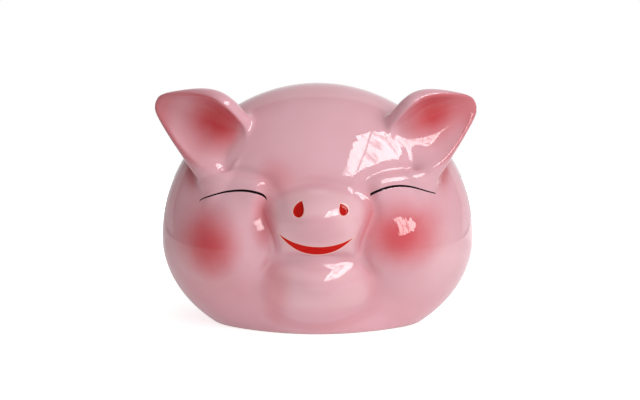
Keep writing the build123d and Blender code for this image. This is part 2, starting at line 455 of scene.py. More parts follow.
@dataclass(frozen=True)
class EarForm:
    """A cupped ear: a swelling along a swept-back line, with a bowl scooped into its front.

    The stations give, along the ear: how far out, its middle, its width, its depth and its bowl, as
    shares of the reach, the width, the width, the depth and the bowl.
    """

    side: int
    reach: float
    root_across: float = 56.0
    root_ahead: float = 27.0
    root_level: float = 104.7
    rise_angle: float = 20.0
    sweep_angle: float = 22.0
    width: float = 43.0
    depth: float = 22.0
    bowl: float = 4.5
    bowl_lift: float = -1.2
    bowl_width_share: float = 0.84
    bowl_lean: float = 0.10
    rim_rounding: float = 2.8
    root_fillet: float = 7.0
    bowl_fillet: float = 16.0
    setback: float = 1.6
    inner_end: float = -0.62
    outer_end: float = 1.04
    end_rounding: float = 0.05
    least_fillet: float = 0.6
    thinnest_wall: float = 1.5
    near_across: float = 10.0
    near_level: float = 55.0
    far: float = 60.0
    red_core: tuple[float, float] = (0.0, 7.0)
    curve_order: int = 5
    stations: tuple[tuple[float, ...], ...] = (
        (-0.60, -0.20, 0.52, 0.85, 1.00),
        (-0.42, -0.10, 0.78, 0.95, 1.00),
        (-0.22, -0.03, 0.94, 1.00, 1.00),
        (0.00, 0.02, 1.00, 1.00, 1.00),
        (0.25, 0.04, 0.89, 0.86, 0.90),
        (0.50, 0.07, 0.70, 0.65, 0.60),
        (0.70, 0.08, 0.50, 0.46, 0.25),
        (0.85, 0.08, 0.32, 0.32, 0.05),
        (0.95, 0.09, 0.17, 0.20, -0.10),
        (1.00, 0.09, 0.00, 0.00, -0.10),
    )

    @cached_property
    def axes(self) -> np.ndarray:
        """The ear's own directions as rows: outward, upward and backward."""
        rise, sweep = radians(self.rise_angle), radians(self.sweep_angle)
        outward = Vector((self.side * cos(rise) * cos(sweep), sin(sweep), sin(rise) * cos(sweep)))
        upward = Vector((-self.side * sin(rise), 0.0, cos(rise)))
        backward = upward.cross(outward) * self.side
        return np.array((outward, upward, backward))

    @cached_property
    def curves(self) -> list[np.ndarray]:
        """Smooth curves through the stations: middle, squared width, squared depth and bowl."""
        table = np.array(self.stations)
        values = (table[:, 1], table[:, 2] ** 2, table[:, 3] ** 2, table[:, 4])
        return [np.polyfit(table[:, 0], value, self.curve_order) for value in values]

    @property
    def root(self) -> np.ndarray:
        """The middle of the ear's root."""
        return np.array((self.side * self.root_across, -self.root_ahead, self.root_level))

    def local(self, points: Points) -> np.ndarray:
        """The points in the ear's own frame, one row each: out, up and back from its root."""
        return (points - self.root) @ self.axes.T

    def section(self, out: np.ndarray) -> tuple[np.ndarray, ...]:
        """The ear's section at places along it.

        Args:
            out: How far out from the root each place is.

        Returns:
            The middle, the line back, the squared half width, the squared half depth and the bowl.
        """
        beyond = (out / self.reach - self.inner_end) / self.end_rounding
        share = self.inner_end + self.end_rounding * np.logaddexp(0.0, beyond)
        share = np.minimum(share, self.outer_end)
        middle, width, depth, bowl = (np.polyval(curve, share) for curve in self.curves)
        return (
            middle * self.width,
            self.setback * np.minimum(share, 0.0) ** 2 * self.reach,
            width * (self.width / 2) ** 2,
            depth * (self.depth / 2) ** 2,
            bowl * self.bowl,
        )

    def body(self, points: Points) -> np.ndarray:
        """The ear before its bowl is scooped: a form that is negative inside.

        Args:
            points: The points, one a row.

        Returns:
            The form's value at each point.
        """
        out, up, back = self.local(points).T
        middle, line, width, depth, _ = self.section(out)
        flatness = np.maximum(width, 1.0) / np.maximum(depth, 0.3)
        return (up - middle) ** 2 + (back - line) ** 2 * flatness - width

    def scoop(self, points: Points) -> np.ndarray:
        """What scoops the bowl: a form that is negative inside.

        Args:
            points: The points, one a row.

        Returns:
            The form's value at each point.
        """
        out, up, back = self.local(points).T
        middle, line, width, depth, bowl = self.section(out)
        half_depth = np.sqrt(np.maximum(depth, 0.0))
        share = np.sqrt(np.maximum(width, 0.0)) / (self.width / 2)
        wide = width * self.bowl_width_share**2
        flatness = np.maximum(wide, 1.0) / np.maximum(half_depth + bowl, 0.4) ** 2
        deep = back - line + half_depth
        centre = middle + self.bowl_lift * share + self.bowl_lean * deep * share
        return (up - centre) ** 2 + deep**2 * flatness - wide

    def distance(self, points: Points) -> np.ndarray:
        """About how far each point is outside the ear.

        Args:
            points: The points, one a row.

        Returns:
            The distance of each point, and a large one far from the ear.
        """
        near = (self.side * points[:, 0] > self.near_across) & (points[:, 2] > self.near_level)
        apart = np.full(len(points), self.far)
        if near.any():
            close = points[near]
            body, scoop = (as_distance(form, close) for form in (self.body, self.scoop))
            cup = soft_cut(body, scoop, self.rim_rounding)
            out, up, back = self.local(close).T
            above = np.maximum(np.abs(up) - 0.6 * self.width, 0.0)
            behind = np.maximum(np.abs(back - 0.5 * self.depth) - 1.1 * self.depth, 0.0)
            cup = np.where(above + behind > 0.0, np.maximum(cup, np.hypot(above, behind)), cup)
            beyond = np.maximum(self.inner_end * self.reach - out, 0.0)
            beyond = beyond + np.maximum(out - self.outer_end * self.reach, 0.0)
            apart[near] = np.where(beyond > 0.0, np.hypot(np.maximum(cup, 0.0), beyond), cup)
        return apart

    def fillet(self, points: Points) -> np.ndarray:
        """The fillet between ear and head: wide in the bowl, and gone towards the crown.

        Args:
            points: The points, one a row.

        Returns:
            The fillet's size at each point.
        """
        out, _, back = self.local(points).T
        front = soft_step(back, 6.0, -5.0)
        width = self.root_fillet + (self.bowl_fillet - self.root_fillet) * front
        share = np.maximum(soft_step(out, -0.7 * self.reach, -0.2 * self.reach), front)
        return self.least_fillet + (width - self.least_fillet) * share

    def rough_mesh(self) -> BMesh:
        """A closed cupped form near the ear's surface, for the remesh to start from.

        Returns:
            The form as a bmesh.
        """
        mesh = bmesh.new()
        bmesh.ops.create_uvsphere(mesh, u_segments=64, v_segments=48, radius=1.0)
        side, over, along = np.array([vert.co for vert in mesh.verts]).T
        out = self.reach * (0.2 + 0.8 * along)
        middle, line, width, depth, bowl = self.section(out)
        girth = np.hypot(side, over)
        closing = np.clip(girth * 3.0, 0.0, 1.0) / np.maximum(girth, TINY)
        wide, deep = (np.sqrt(np.maximum(square, 0.0)) for square in (width, depth))
        half_depth = deep * closing
        up, back = middle + side * (wide * closing), line + over * half_depth
        off_middle = up - middle - self.bowl_lift * (wide / (self.width / 2))
        off_middle = off_middle / np.maximum(wide * self.bowl_width_share, 1e-3)
        chord = np.clip(1.0 - off_middle**2, 0.0, 1.0)
        floor = line - deep + (deep + bowl) * np.sqrt(chord)
        arch = np.sqrt(np.clip(1.0 - side**2 / np.maximum(girth, TINY) ** 2, 0.0, 1.0))
        floor = np.minimum(floor, line + arch * half_depth - self.thinnest_wall)
        back = np.where((over < 0.0) & (chord > 0.0), np.maximum(back, floor), back)
        places = self.root + np.stack((out, up, back), axis=1) @ self.axes
        for vert, place in zip(mesh.verts, places):
            vert.co = place
        bmesh.ops.recalc_face_normals(mesh, faces=mesh.faces)
        return mesh


@dataclass(frozen=True)
class FootForm:
    """The flat foot ring, the recess inside it and the emptying hole."""

    half_width: float = 53.02
    half_depth: float = 33.62
    ring_width: float = 9.0
    recess: float = 3.5
    hole_radius: float = 17.0
    hole_top: float = 12.0
    rounding: float = 1.3

    @property
    def recess_radii(self) -> tuple[float, float]:
        """The recess's half width and half depth."""
        return self.half_width - self.ring_width, self.half_depth - self.ring_width

    def cut(self, skin: np.ndarray, points: Points) -> np.ndarray:
        """Cuts the foot out of the head.

        Args:
            skin: Each point's distance from the head.
            points: The points.

        Returns:
            The distances with the foot cut.
        """
        across, back, level = points.T
        wide, deep = self.recess_radii
        oval = outside_oval((across, wide), (back, deep))
        recess = -soft_union(-oval, self.recess - level, self.rounding)
        skin = soft_cut(soft_cut(skin, level, self.rounding), recess, self.rounding)
        hole = np.maximum(np.hypot(across, back) - self.hole_radius, level - self.hole_top)
        return soft_cut(skin, hole, self.rounding * 0.6)

    def cutters(self) -> list[BMesh]:
        """Solid forms for the recess and the hole, for the rough head.

        Returns:
            The two forms.
        """
        recess = cylinder(1.0, 2.0 * self.recess, 128)
        bmesh.ops.scale(recess, verts=recess.verts, vec=(*self.recess_radii, 1.0))
        return [recess, cylinder(self.hole_radius, 2.0 * self.hole_top, 96)]


@dataclass(frozen=True)
class CoinSlotForm:
    """The coin slot behind the crown, with rounded ends and edges that the glaze has softened."""

    length: float = 38.0
    width: float = 5.0
    behind: float = 25.0
    bottom: float = 106.0
    cutter_height: float = 60.0
    rounding: float = 1.2

    def cut(self, skin: np.ndarray, points: Points) -> np.ndarray:
        """Cuts the slot out of the crown.

        Args:
            skin: Each point's distance from the head.
            points: The points.

        Returns:
            The distances with the slot cut.
        """
        across, back, level = points.T
        beside = np.maximum(np.abs(across) - (self.length - self.width) / 2, 0.0)
        slot = np.hypot(beside, back - self.behind) - self.width / 2
        return soft_cut(skin, np.maximum(slot, self.bottom - level), self.rounding)

    def cutter(self) -> BMesh:
        """A solid form for the slot, for the rough head.

        Returns:
            The form as a bmesh.
        """
        mesh = cylinder(self.width / 2, self.cutter_height, 48)
        shift = (self.length - self.width) / 2
        for vert in mesh.verts:
            sign = 0.0 if abs(vert.co.x) < 1e-4 else (1.0 if vert.co.x > 0 else -1.0)
            vert.co += Vector((sign * shift, self.behind, self.bottom + self.cutter_height / 2))
        return mesh


@dataclass(frozen=True)
class Crescent:
    """A painted mouth: the place between two sagging curves that meet in its corners."""

    across: float
    corner_level: float
    half_span: float
    upper_sag: float
    lower_sag: float
    tilt: float
    fullness: float = 2.15

    def inside(self, across: Number, level: Number) -> Number:
        """How far a place is inside the crescent, on wires or arrays.

        Args:
            across: How far to the side the place is.
            level: How high it is.

        Returns:
            The depth inside, negative outside.
        """
        along, over = turned(across - self.across, level - self.corner_level, self.tilt)
        share = 1.0 - abs(along / self.half_span) ** self.fullness
        return least(-1.0 * self.upper_sag * share - over, over + self.lower_sag * share)


@dataclass(frozen=True)
class BrushStroke:
    """A closed eye: one stroke of a fine brush along an arch, thinner towards its outer end.

    The skew moves the top of the arch towards the inner end. The roundness is below 1 for a flatter
    top with steeper ends.
    """

    across: float
    level: float
    half_span: float
    arch: float
    tilt: float
    skew: float
    roundness: float
    inner_width: float = 1.5
    outer_width: float = 0.6

    def inside(self, across: Number, level: Number) -> Number:
        """How far a place is inside the stroke, on wires or arrays.

        Args:
            across: How far from the middle of the face the place is.
            level: How high it is.

        Returns:
            The depth inside, negative outside.
        """
        along, over = turned(across - self.across, level - self.level, self.tilt)
        share = along / self.half_span
        half_width = (self.inner_width + self.outer_width) / 4
        half_width = half_width + share * (self.outer_width - self.inner_width) / 4
        arch = most(1.0 - share * share, 0.0) ** self.roundness
        line = arch * (1.0 - share * self.skew) * self.arch
        return least(half_width - abs(over - line), self.half_span - abs(along))


@dataclass(frozen=True)
class Teardrop:
    """A painted nostril: round at its lower end and drawn out to a tip."""

    across: float
    level: float
    lean: float
    length: float
    half_width: float

    def inside(self, across: Number, level: Number) -> Number:
        """How far a place is inside the teardrop, on wires or arrays.

        Args:
            across: How far to the side the place is.
            level: How high it is.

        Returns:
            The depth inside, negative outside.
        """
        over, along = turned(across - self.across, level - self.level, self.lean)
        along = along / self.length
        share = least(most(along, 0.0), 1.0)
        half_width = share**0.5 * (1.0 - share) ** 0.85 * (self.half_width * 2.42)
        return half_width - abs(over) - abs(along - share) * self.length


@dataclass(frozen=True)
class FaceMarks:
    """The painted marks of the face, each pressed lightly into the clay before it was painted."""

    mouth: Crescent = Crescent(-0.9, 54.9, 19.3, 5.0, 9.7, -2.8)
    left_eye: BrushStroke = BrushStroke(44.0, 70.8, 17.6, 5.5, -4.6, 0.27, 0.62)
    right_eye: BrushStroke = BrushStroke(44.35, 74.05, 17.05, 4.75, -2.2, 0.26, 1.0)
    left_nostril: Teardrop = Teardrop(-11.0, 65.9, -20.0, 8.1, 2.75)
    right_nostril: Teardrop = Teardrop(14.7, 66.6, 28.0, 6.2, 2.3)
    mouth_depth: float = 0.45
    eye_depth: float = 0.1
    nostril_depth: float = 0.9
    edge: float = 0.5

    def inside(self, across: Number, level: Number) -> tuple[Number, Number, Number]:
        """How far a place is inside the mouth, inside an eye's stroke and inside a nostril.

        Args:
            across: How far to the side the place is, on a wire or in an array.
            level: How high it is.

        Returns:
            The three depths, negative outside.
        """
        left_eye = self.left_eye.inside(across * -1.0, level)
        left_nostril = self.left_nostril.inside(across, level)
        return (
            self.mouth.inside(across, level),
            most(left_eye, self.right_eye.inside(across, level)),
            most(left_nostril, self.right_nostril.inside(across, level)),
        )

    def press(self, across: np.ndarray, level: np.ndarray) -> np.ndarray:
        """How far the clay is pressed in at places on the face.

        Args:
            across: How far to the side each place is.
            level: How high each place is.

        Returns:
            The depth at each place.
        """
        mouth, eyes, nostrils = self.inside(across, level)
        depth = self.mouth_depth * soft_step(mouth, -self.edge, self.edge)
        depth = depth + self.eye_depth * soft_step(eyes, -self.edge, self.edge / 2)
        return depth + self.nostril_depth * soft_step(nostrils, -self.edge, 3 * self.edge)


class Blank:
    """A mesh on its way to becoming a piece."""

    def __init__(self, name: str, source: BMesh) -> None:
        """Makes an object of a bmesh, and frees the bmesh.

        Args:
            name: The object's name.
            source: The bmesh.
        """
        mesh = bpy.data.meshes.new(name)
        source.to_mesh(mesh)
        source.free()
        self.object = bpy.data.objects.new(name, mesh)
        bpy.context.scene.collection.objects.link(self.object)

    def modify(self, kind: str, **settings: object) -> None:
        """Puts a modifier on and applies it.

        Args:
            kind: The modifier's type.
            settings: Its settings by name.
        """
        modifier = self.object.modifiers.new(kind.lower(), kind)
        for name, value in settings.items():
            setattr(modifier, name, value)
        bpy.context.view_layer.update()
        evaluated = self.object.evaluated_get(bpy.context.evaluated_depsgraph_get())
        mesh = bpy.data.meshes.new_from_object(evaluated)
        self.object.modifiers.clear()
        worn, self.object.data = self.object.data, mesh
        bpy.data.meshes.remove(worn)

    def cut(self, cutter: BMesh) -> None:
        """Cuts a form out of the mesh.

        Args:
            cutter: The form to cut out, which is freed.
        """
        tool = Blank(f"{self.object.name}_cutter", cutter)
        self.modify("BOOLEAN", operation="DIFFERENCE", solver="EXACT", object=tool.object)
        mesh = tool.object.data
        bpy.data.objects.remove(tool.object)
        bpy.data.meshes.remove(mesh)

    def opened(self) -> BMesh:
        """The mesh as a bmesh to work on."""
        work = bmesh.new()
        work.from_mesh(self.object.data)
        return work

    def close(self, work: BMesh) -> None:
        """Puts a bmesh back into the object, and frees it."""
        work.to_mesh(self.object.data)
        work.free()

    def points(self) -> Points:
        """The places of the mesh's vertices."""
        values = np.empty(len(self.object.data.vertices) * 3)
        self.object.data.vertices.foreach_get("co", values)
        return values.reshape(-1, 3)

    def move_to(self, points: Points) -> None:
        """Moves the mesh's vertices."""
        self.object.data.vertices.foreach_set("co", np.asarray(points, float).ravel())
        self.object.data.update()

    def carry(self, name: str, values: np.ndarray) -> None:
        """Keeps one number for each vertex, for the shader to read.

        Args:
            name: The attribute's name.
            values: One number for each vertex.
        """
        attribute = self.object.data.attributes.new(name, "FLOAT", "POINT")
        attribute.data.foreach_set("value", np.asarray(values, np.float32))


@dataclass(frozen=True)
class GlazedHead:
    """The hollow glazed head with its ears, its face, its coin slot and its foot."""

    head: HeadForm = HeadForm()
    left_ear: EarForm = EarForm(side=-1, reach=35.8)
    right_ear: EarForm = EarForm(side=1, reach=33.4, red_core=(9.0, 9.0))
    foot: FootForm = FootForm()
    slot: CoinSlotForm = CoinSlotForm()
    marks: FaceMarks = FaceMarks()
    wall: float = 4.5
    cavity_floor: float = 8.0
    grain: float = 1.15
    inset: float = 0.06
    settle_rounds: int = 3
    mark_margins: tuple[float, ...] = (2.0, 1.2)
    face_front: float = -20.0
    hollow_reaches: tuple[float, ...] = (3.0, 7.0, 12.0)
    foot_radii: tuple[float, float] = (53.0, 33.6)
    foot_top: float = 14.0
    glazed_recess_top: float = 6.5

    @property
    def ears(self) -> tuple[EarForm, EarForm]:
        """Both ears."""
        return self.left_ear, self.right_ear

    def distance(self, points: Points) -> np.ndarray:
        """About how far each point is outside the finished skin."""
        skin = self.head.distance(points)
        for ear in self.ears:
            skin = soft_union(skin, ear.distance(points), ear.fillet(points))
        return self.slot.cut(self.foot.cut(skin, points), points) + self.inset

    def settled(self, points: Points, steps: int = 2) -> Points:
        """Moves points straight on to the skin.

        Args:
            points: Points near the skin.
            steps: How many times they are moved.

        Returns:
            The points on the skin.
        """
        for _ in range(steps):
            slope = slopes(self.distance, points)
            steepness = np.maximum(np.linalg.norm(slope, axis=1), 0.2)
            travel = np.clip(self.distance(points) / steepness, -1.5, 1.5)
            points = points - slope * (travel / steepness)[:, None]
        return points

    def dome_mesh(self, inset: float, with_face: bool, floor: float, fineness: int) -> BMesh:
        """A closed dome with a flat floor.

        Args:
            inset: How far inside the skin the dome lies.
            with_face: Whether the face stands out of it.
            floor: The level of the floor.
            fineness: How many times the starting ball is divided.

        Returns:
            The dome as a bmesh.
        """
        mesh = bmesh.new()
        bmesh.ops.create_icosphere(mesh, subdivisions=fineness, radius=1.0)
        directions = np.array([vert.co for vert in mesh.verts])
        for vert, place in zip(mesh.verts, self.head.on_dome(directions, inset, with_face)):
            vert.co = place
        geometry = [*mesh.verts, *mesh.edges, *mesh.faces]
        plane = {"plane_co": (0.0, 0.0, floor), "plane_no": (0.0, 0.0, -1.0)}
        bmesh.ops.bisect_plane(mesh, geom=geometry, clear_outer=True, **plane)
        bmesh.ops.holes_fill(mesh, edges=[edge for edge in mesh.edges if edge.is_boundary])
        bmesh.ops.recalc_face_normals(mesh, faces=mesh.faces)
        return mesh

    def thrown(self) -> Blank:
        """The whole skin as one even mesh, near its final form."""
        blank = Blank("glazed_head", self.dome_mesh(0.0, True, 0.0, 6))
        for cutter in (*self.foot.cutters(), self.slot.cutter()):
            blank.cut(cutter)
        work = blank.opened()
        for ear in self.ears:
            absorb(work, ear.rough_mesh())
        blank.close(work)
        blank.modify("REMESH", mode="VOXEL", voxel_size=self.grain)
        return blank

    def smooth_down(self, blank: Blank) -> None:
        """Evens the mesh out and settles it on the skin.

        Args:
            blank: The mesh to work on.
        """
        every_way = {f"use_axis_{axis}": True for axis in "xyz"}
        for _ in range(self.settle_rounds):
            work = blank.opened()
            bmesh.ops.smooth_vert(work, verts=work.verts, factor=0.5, **every_way)
            blank.close(work)
            blank.move_to(self.settled(blank.points()))

    def refine_marks(self, blank: Blank) -> None:
        """Divides the mesh round the marks of the face and presses them in.

        Args:
            blank: The mesh to work on.
        """
        for margin in self.mark_margins:
            work = blank.opened()
            across, back, level = np.array([vert.co for vert in work.verts]).T
            inside = np.maximum.reduce(self.marks.inside(across, level)) > -margin
            inside &= back < self.face_front
            edges = [edge for edge in work.edges if all(inside[vert.index] for vert in edge.verts)]
            bmesh.ops.subdivide_edges(work, edges=edges, cuts=1, use_grid_fill=True)
            blank.close(work)
        places = self.settled(blank.points(), steps=1)
        front = places[:, 1] < self.face_front
        places[:, 1] += np.where(front, self.marks.press(places[:, 0], places[:, 2]), 0.0)
        blank.move_to(places)

    def shade_maps(self, blank: Blank) -> None:
        """Works out where the glaze pools and the creases take painted shade, where the ears are
        sprayed and where clay is bare.

        Args:
            blank: The mesh to work on.
        """
        places = blank.points()
        slope = slopes(self.distance, places)
        outward = slope / np.maximum(np.linalg.norm(slope, axis=1), 1e-6)[:, None]
        hollow, sprayed = np.zeros(len(places)), np.zeros(len(places))
        # how enclosed each place is: the glaze darkens it as pooled glaze and as painted shade in
        # creases
        for reach in self.hollow_reaches:
            nearness = 1.0 - self.distance(places + outward * reach) / reach
            hollow += np.clip(nearness, -0.5, 1.0) / len(self.hollow_reaches)
        for ear in self.ears:
            root = soft_step(ear.local(places)[:, 0], 0.2 * ear.reach, -0.3 * ear.reach)
            hollow *= 1.0 - 0.85 * root * soft_step(ear.distance(places), 24.0, 8.0)
            near = (ear.side * places[:, 0] > 20.0) & (places[:, 2] > 70.0)
            out, up, _ = ear.local(places[near]).T
            cup = soft_step(as_distance(ear.scoop, places[near]), 2.2, 0.3)
            facing = soft_step(outward[near] @ -ear.axes[2], -0.1, 0.35)
            core = np.hypot((out - ear.red_core[0]) / 30.0, (up - ear.red_core[1]) / 24.0)
            rooted = soft_step(out, -0.58 * ear.reach, -0.25 * ear.reach)
            sprayed[near] += cup * facing * rooted * np.maximum(1.0 - core, 0.18)
        across, back, level = places.T
        girth = np.hypot(across / self.foot_radii[0], back / self.foot_radii[1])
        in_foot = (level < self.foot_top) & (girth < 0.98)
        bare = soft_step(-self.head.distance(places), 2.0, 3.2) * ~in_foot
        ring = (level < 0.5) & (outward[:, 2] < -0.75)
        inner = in_foot & (level > self.glazed_recess_top)
        blank.carry("hollow", hollow)
        blank.carry("sprayed", sprayed)
        blank.carry("bare", np.maximum(bare, (ring | inner).astype(float)))

    def build(self) -> bpy.types.Object:
        """Makes the finished piece.

        Returns:
            The object, with its place in its mesh.
        """
        blank = self.thrown()
        LOG.info("thrown: %d faces", len(blank.object.data.polygons))
        self.smooth_down(blank)
        self.refine_marks(blank)
        blank.cut(self.dome_mesh(self.wall, False, self.cavity_floor, 5))
        self.shade_maps(blank)
        work = blank.opened()
        bmesh.ops.scale(work, verts=work.verts, vec=(MILLIMETRE,) * 3)
        blank.close(work)
        blank.object.data.shade_smooth()
        LOG.info("glazed head: %d faces", len(blank.object.data.polygons))
        return blank.object


@dataclass(frozen=True)
class RubberBung:
    """The moulded plug in the emptying hole, with its ribs, its flange and its pull tab."""

    flange_radius: float = 20.4
    flange_bottom: float = 1.75
    flange_top: float = 3.45
    body_radius: float = 16.2
    rib_radius: float = 16.85
    rib_levels: tuple[float, ...] = (4.62, 6.88)
    rib_half_height: float = 0.6
    top: float = 15.45
    lead: float = 1.2
    skin: float = 2.2
    cup_floor: float = 4.6
    groove_radius: float = 14.5
    groove_depth: float = 0.35
    segments: int = 128
    tab_radius: float = 10.9
    tab_behind: float = 12.7
    tab_bottom: float = 0.55
    tab_top: float = 1.85
    bar_count: int = 3
    bar_pitch: float = 2.6

    def profile(self) -> list[tuple[float, float]]:
        """The outline of half the plug's section, from under its middle round to its cup.

        Returns:
            Each point's radius and level.
        """
        low, high = self.flange_bottom, self.flange_top
        groove, deep = self.groove_radius, low + self.groove_depth
        points = [(0.0, low), (groove - 0.9, low), (groove - 0.5, deep)]
        points += [(groove + 0.5, deep), (groove + 0.9, low)]
        points += [(self.flange_radius - 0.5, low), (self.flange_radius - 0.12, low + 0.14)]
        points += [(self.flange_radius, low + 0.5), (self.flange_radius, high - 0.5)]
        points += [(self.flange_radius - 0.14, high - 0.14), (self.flange_radius - 0.6, high)]
        points += [(self.body_radius + 0.35, high), (self.body_radius, high + 0.3)]
        for level in self.rib_levels:
            for turn in range(-2, 3):
                angle = turn * pi / 4
                radius = self.body_radius + (self.rib_radius - self.body_radius) * cos(angle)
                points.append((radius, level + self.rib_half_height * sin(angle)))
        edge = self.body_radius - self.lead
        points += [(self.body_radius, self.top - self.lead), (edge, self.top - 0.08)]
        points += [(edge - 0.15, self.top)]
        inner = self.body_radius - self.skin
        points += [(inner + 0.2, self.top), (inner, self.top - 0.2), (inner, self.cup_floor + 0.8)]
        points += [(inner - 0.8, self.cup_floor), (0.0, self.cup_floor)]
        return points

    def plug(self) -> BMesh:
        """The plug without its tab, spun round its own axis."""
        mesh = bmesh.new()
        verts = [mesh.verts.new((radius, 0.0, level)) for radius, level in self.profile()]
        edges = [mesh.edges.new(pair) for pair in zip(verts, verts[1:])]
        bmesh.ops.spin(
            mesh,
            geom=[*verts, *edges],
            cent=(0.0, 0.0, 0.0),
            axis=(0.0, 0.0, 1.0),
            angle=2 * pi,
            steps=self.segments,
            use_merge=True,
        )
        bmesh.ops.remove_doubles(mesh, verts=mesh.verts, dist=0.001)
        bmesh.ops.recalc_face_normals(mesh, faces=mesh.faces)
        return mesh

    def tab(self) -> BMesh:
        """The half-moon tab under the flange."""
        mesh = cylinder(self.tab_radius, self.tab_top - self.tab_bottom, 72)
        middle = (0.0, -self.tab_behind, (self.tab_top + self.tab_bottom) / 2)
        bmesh.ops.translate(mesh, verts=mesh.verts, vec=middle)
        rim = self.flange_radius - 0.15
        for vert in mesh.verts:
            radius = sqrt(vert.co.x**2 + vert.co.y**2)
            if radius > rim:
                vert.co.xy = vert.co.xy * (rim / radius)
        bmesh.ops.bevel(
            mesh,
            geom=[edge for edge in mesh.edges if edge.calc_face_angle(0.0) > 1.0],
            offset=0.35,
            segments=3,
            profile=0.5,
            affect="EDGES",
            material=-1,
            clamp_overlap=True,
        )
        return mesh

    def bar(self, number: int) -> BMesh:
        """One raised grip bar on the tab.

        Args:
            number: Which bar it is, counted from the rim.

        Returns:
            The bar as a bmesh.
        """
        mesh = bmesh.new()
        bmesh.ops.create_cube(mesh, size=1.0)
        back = -self.tab_behind - 4.2 + number * self.bar_pitch
        length = 11.0 - 1.2 * abs(number - 1)
        bmesh.ops.scale(mesh, verts=mesh.verts, vec=(length, 0.9, 0.7))
        bmesh.ops.bevel(
            mesh,
            geom=mesh.edges[:],
            offset=0.28,
            segments=3,
            profile=0.5,
            affect="EDGES",
            material=-1,
        )
        bmesh.ops.translate(mesh, verts=mesh.verts, vec=(0.0, back, self.tab_bottom + 0.05))
        return mesh

    def build(self) -> bpy.types.Object:
        """Makes the finished piece.

        Returns:
            The object, with its place in its mesh.
        """
        work = self.plug()
        for part in (self.tab(), *(self.bar(number) for number in range(self.bar_count))):
            absorb(work, part)
        bmesh.ops.scale(work, verts=work.verts, vec=(MILLIMETRE,) * 3)
        for edge in work.edges:
            edge.smooth = edge.calc_face_angle(0.0) < radians(40.0)
        blank = Blank("rubber_bung", work)
        blank.object.data.shade_smooth()
        LOG.info("rubber bung: %d faces", len(blank.object.data.polygons))
        return blank.object


